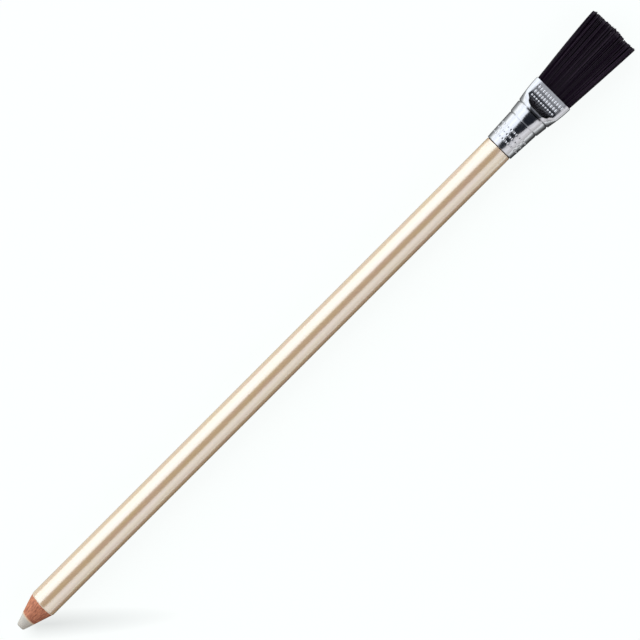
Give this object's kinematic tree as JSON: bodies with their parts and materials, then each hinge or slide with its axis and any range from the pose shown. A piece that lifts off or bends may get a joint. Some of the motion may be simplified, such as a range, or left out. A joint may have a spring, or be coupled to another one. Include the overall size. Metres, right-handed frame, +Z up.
{
  "type": "eraser pencil",
  "caption": "Round wooden eraser pencil: an eraser core cut to a point in a lacquered cedar barrel, with a flat black brush in a metal ferrule at the other end.",
  "frame": {"origin": "centre of the bottom of the bounding box, on the table under the pencil", "axes": "+X from the point to the brush, +Y across the brush's width, +Z up, square to the brush's wide faces"},
  "size_m": [0.201, 0.0138, 0.0096],
  "materials": {
    "eraser_compound": "matt vulcanised eraser compound, pale warm grey",
    "cedar": "bare cut cedar, fine grain",
    "wood_glue": "dried wood glue",
    "ground_lacquer": "cream ground lacquer",
    "pearl_lacquer": "glossy champagne pearl lacquer",
    "plated_sheet": "bright nickel plating on thin sheet metal",
    "cement": "set cement",
    "resin": "set epoxy resin",
    "bristle_nylon": "black nylon bristle, slight sheen"
  },
  "bodies": {
    "pencil": {"eraser_core": "eraser_compound", "upper_slat": "cedar", "lower_slat": "cedar", "slat_glue": "wood_glue", "ground_coat": "ground_lacquer", "pearl_coat": "pearl_lacquer", "ferrule": "plated_sheet", "ferrule_cement": "cement", "resin_plug": "resin", "bristle_roots": "bristle_nylon"},
    "tuft": {"front_bristles": "bristle_nylon", "middle_bristles": "bristle_nylon", "back_bristles": "bristle_nylon"}
  },
  "joints": [
    {"name": "tuft_flex", "type": "hinge", "parent": "pencil", "child": "tuft", "pos_m": [0.08207, 0, 0.00482], "axis": [0, -1, 0], "range_deg": [0, 30], "stiffness_Nm_per_rad": 0.01}
  ]
}
